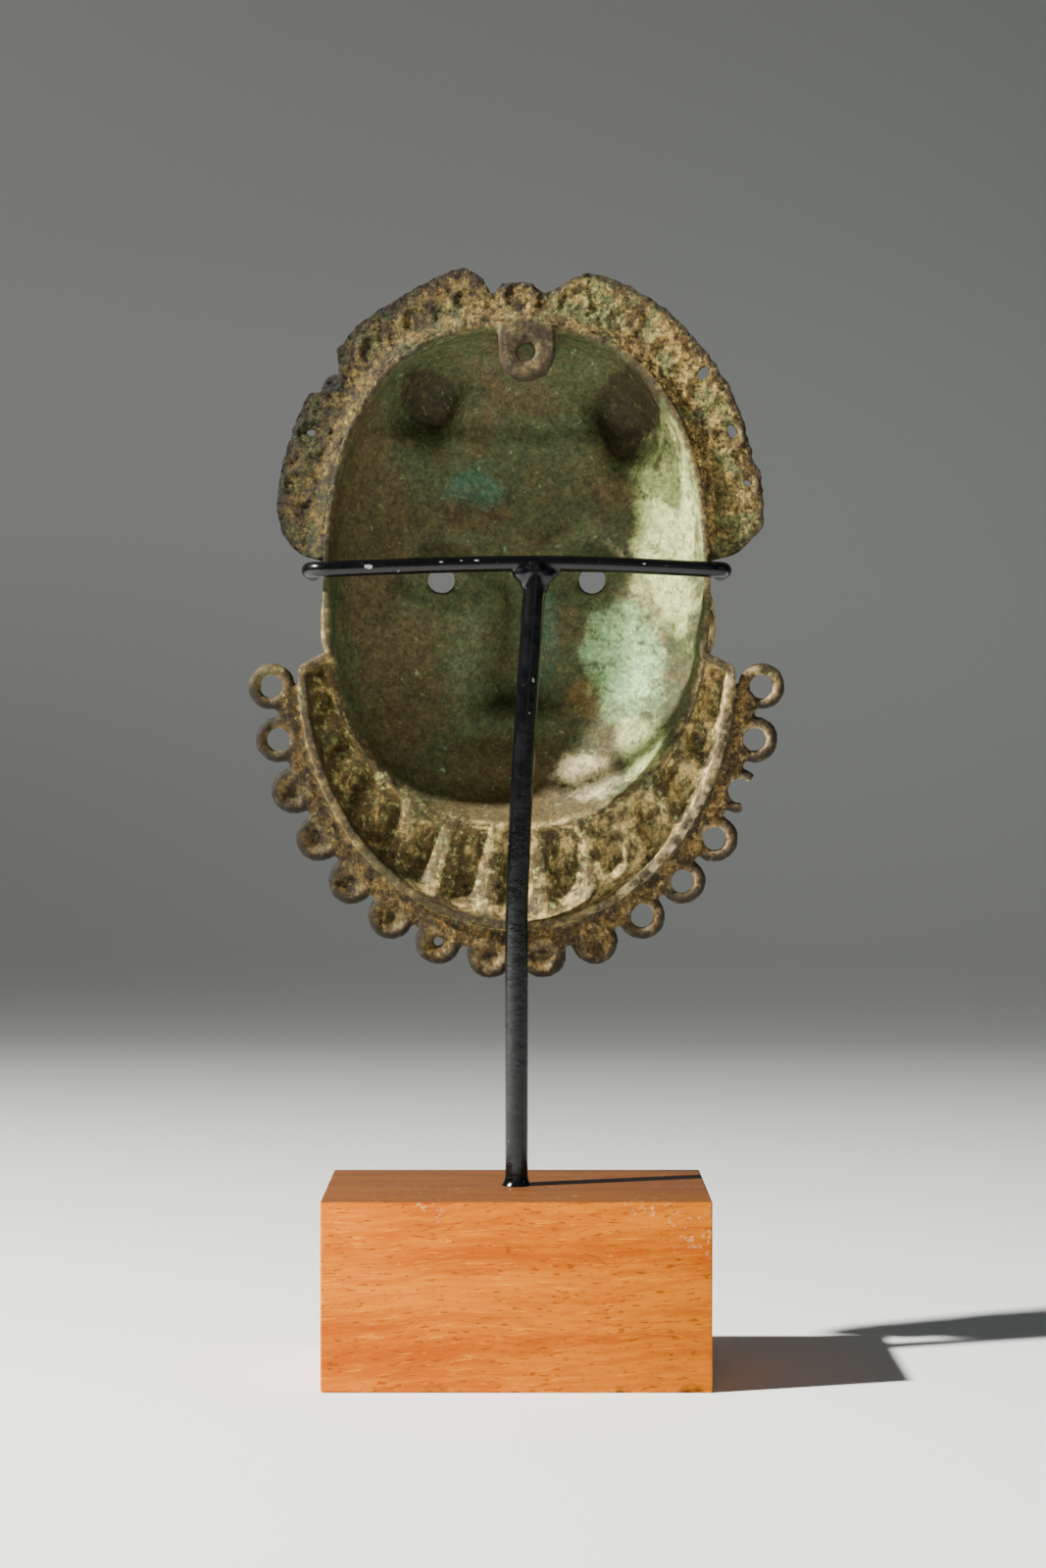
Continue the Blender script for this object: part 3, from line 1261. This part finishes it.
steel = {
    "rodRadius": 0.0030,
    "barRadius": 0.0021,
    "barHeight": 0.213,
    "crown": 0.0016,
    "lean": 0.0052,
    "kink": 0.42,
    "armReach": 0.0125,
    "bend": 0.0052,
    "armSide": 0.0549,
    "weldWidth": 0.0105,
    "weldDrop": 0.0085,
    "beads": 9,
    "smoothing": 4,
    "voxel": 0.00042,
    "quickVoxel": 0.00065,
}


def trued(mesh, line, radius, clearOf, clear):
    # points near a round bar are set on its true surface, except close to its weld
    co, best = coords(mesh), None
    for a, b in zip(np.array(line), np.array(line)[1:]):
        step = b - a
        share = np.clip((co - a) @ step / max(step @ step, 1e-12), 0, 1)[:, None]
        at = a + share * step
        away = np.linalg.norm(co - at, axis=1)
        if best is None:
            best, foot = away, at
        foot = np.where((away < best)[:, None], at, foot)
        best = np.minimum(away, best)
    keep = (np.abs(best - radius) < 0.0005) * ease(clear, clear + 0.002, np.linalg.norm(co - clearOf, axis=1))
    keep = keep * ease(blockHigh.z + 0.0020, blockHigh.z + 0.0032, co[:, 2])
    co += (foot + (co - foot) / np.maximum(best, 1e-6)[:, None] * radius - co) * keep[:, None]
    setCoords(mesh, co)


def cradlePiece():
    look = steel
    top, foot = look["barHeight"], blockHigh.z - 0.004
    kink = blockHigh.z + (top - blockHigh.z) * look["kink"]
    points = [(0.0, 0.0, foot), (0.0, 0.0, blockHigh.z), (0.0, 0.0, kink)]
    for i in range(1, 31):
        share = i / 30
        points.append((look["lean"] * share**1.35, 0.0, kink + (top - kink) * share))
    pieces = [tube("rod", points, look["rodRadius"], 12)]
    line = [(look["lean"], 0.0, top)]
    for hand in (1.0, -1.0):
        side = []
        corner = look["armSide"] - look["bend"]
        for i in range(1, 13):
            x = look["lean"] + (hand * corner - look["lean"]) * i / 12
            side.append((x, 0.0, top - look["crown"] * (i / 12) ** 1.5))
        for i in range(1, 15):
            turn = math.pi / 2 * i / 14
            x = hand * (corner + look["bend"] * math.sin(turn))
            side.append((x, look["bend"] * (1 - math.cos(turn)), top - look["crown"]))
        end = rimPlane + look["armReach"]
        side.append((hand * look["armSide"], end - 0.0008, top - look["crown"]))
        side.append((hand * look["armSide"], end, top - look["crown"]))
        line = line + side if hand > 0 else side[::-1] + line
    radii = [0.72] + [1.0] * (len(line) - 2) + [0.72]
    pieces.append(tube("bar", line, look["barRadius"], 10, radii))
    bead = np.random.default_rng(3)
    for i in range(look["beads"]):
        bm = bmesh.new()
        bmesh.ops.create_icosphere(bm, subdivisions=3, radius=1.0)
        share = i / (look["beads"] - 1) * 2 - 1
        size = 0.0022 + 0.0010 * (1 - share * share)
        bmesh.ops.scale(bm, vec=(size * 1.15, size * 0.80, size), verts=bm.verts)
        down = 0.0024 + 0.0012 * (1 - abs(share))
        at = (look["lean"] * 0.97 + share * 0.0038, bead.normal(0, 0.0002), top - down)
        bmesh.ops.translate(bm, vec=Vector(at), verts=bm.verts)
        pieces.append(link("bead", meshFrom("bead", bm)))
    bm = bmesh.new()
    turned = Matrix.Translation((look["lean"] * 0.93, 0.0, top - look["weldDrop"] * 0.62))
    bmesh.ops.create_cone(
        bm, cap_ends=True, segments=32, radius1=look["rodRadius"] * 1.02, radius2=look["weldWidth"] / 2,
        depth=look["weldDrop"] * 0.75, matrix=turned,
    )
    bmesh.ops.scale(bm, vec=(1.0, 0.60, 1.0), verts=bm.verts)
    pieces.append(link("weldCone", meshFrom("weldCone", bm)))
    flare = [(0.0, 0.0018), (0.0031, 0.0018), (0.0033, 0.0009), (0.0038, 0.0003), (0.0042, -0.0004)]
    mesh = lathe("flare", [*flare, (0.0, -0.0004)], 48)
    mesh.transform(Matrix.Translation((0.0, 0.0, blockHigh.z)) @ Matrix.Rotation(math.radians(90), 4, "X"))
    pieces.append(link("flare", mesh))
    piece = remeshed(joined("steelCradle", pieces), look["voxel"])
    piece = softened(piece, look["smoothing"])
    weldAt = np.array((look["lean"], 0.0, top))
    trued(piece.data, line, look["barRadius"], weldAt, 0.0070)
    trued(piece.data, points, look["rodRadius"], weldAt, 0.0095)
    smoothIn(piece, black)
    print("cradle finished", len(piece.data.polygons))
    return piece


cradle = cradlePiece()
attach(cradle, "root")
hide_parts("cradle")


# Wooden block


def blockPiece():
    bm = bmesh.new()
    bmesh.ops.create_cube(bm, size=1.0)
    size = blockHigh - blockLow
    bmesh.ops.scale(bm, vec=size, verts=bm.verts)
    bmesh.ops.translate(bm, vec=(blockHigh + blockLow) / 2, verts=bm.verts)
    bmesh.ops.bevel(bm, geom=bm.edges[:], offset=0.0006, segments=3, profile=0.5, affect="EDGES")
    piece = link("plinthBlock", meshFrom("plinthBlock", bm))
    smoothIn(piece, wood)
    piece.data.set_sharp_from_angle(angle=math.radians(50))
    return piece


block = blockPiece()
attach(block, "root")
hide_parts("wood_block")
print("block finished")

# Stage, lights and camera

stageLook = {
    "floor": (0.93, 0.965, 0.92),
    "wall": (0.054, 0.057, 0.055),
    "start": -0.16,
    "end": 0.95,
    "leftShare": 0.74,
    "rightShare": 1.95,
    "topShare": 0.62,
    "back": 0.75,
    "sweep": 0.55,
}


def stagePiece():
    back, radius = stageLook["back"], stageLook["sweep"]
    line = [(-1.6, 0.0), (0.0, 0.0)] + [(back * i / 6, 0.0) for i in range(1, 7)]
    for i in range(1, 25):
        turn = math.pi / 2 * i / 24
        line.append((back + radius * math.sin(turn), radius * (1 - math.cos(turn))))
    line.append((back + radius, 2.6))
    points = np.array([[(x, y, z) for x in np.linspace(-2.4, 2.4, 9)] for y, z in line])
    piece = link("studioSweep", gridMesh("studioSweep", points))
    material, tree, shader, where = newMaterial("sweepPaper")
    part = addNode(tree, "ShaderNodeSeparateXYZ", {0: where})
    share = span(tree, part.outputs[1], stageLook["start"], stageLook["end"])
    even = span(tree, part.outputs[0], -0.60, 0.60, stageLook["leftShare"], stageLook["rightShare"])
    high = span(tree, part.outputs[2], 0.20, 0.90, 1.0, stageLook["topShare"])
    wall = scaled(tree, stageLook["wall"], times(tree, even, high))
    feed(tree, shader.inputs["Base Color"], blend(tree, share, stageLook["floor"], wall))
    shader.inputs["Roughness"].default_value = 0.7
    smoothIn(piece, material)


stagePiece()

# Lights: name, place, size, power in watts and colour
aim = Vector((0.0, 0.0, 0.15))
toKey = Vector((-0.737, -0.197, 0.645))
lights = (
    ("keyLight", aim + 1.7 * toKey, 0.07, 125.0, (1.0, 0.985, 0.96)),
    ("fillLight", (0.35, -1.5, 0.55), 1.0, 0.8, (0.97, 0.99, 1.0)),
    ("coolFill", (1.2, -0.25, 0.55), 0.5, 0.45, (0.55, 0.90, 1.0)),
)
air = {"colour": (0.70, 0.83, 0.92, 1.0), "strength": 0.07}
cameraLook = {"place": (0.0017, -0.692, 0.166), "dip": 0.92, "lens": 60.3, "sensor": 36.0}


def areaLight(name, at, size, power, colour):
    data = bpy.data.lights.new(name, "AREA")
    data.shape = "DISK"
    data.size = size
    data.energy = power
    data.color = colour
    made = link(name, data)
    made.location = at
    made.rotation_euler = (aim - Vector(at)).to_track_quat("-Z", "Y").to_euler()


for light in lights:
    areaLight(*light)
world = bpy.data.worlds.new("studioAir")
world.use_nodes = True
world.node_tree.nodes["Background"].inputs[0].default_value = air["colour"]
world.node_tree.nodes["Background"].inputs[1].default_value = air["strength"]
bpy.context.scene.world = world

lens = bpy.data.cameras.new("photoCamera")
lens.lens = cameraLook["lens"]
lens.sensor_width = cameraLook["sensor"]
camera = link("photoCamera", lens)
camera.location = cameraLook["place"]
camera.rotation_euler = (math.radians(90 - cameraLook["dip"]), 0.0, 0.0)
bpy.context.scene.camera = camera

print("scene finished")
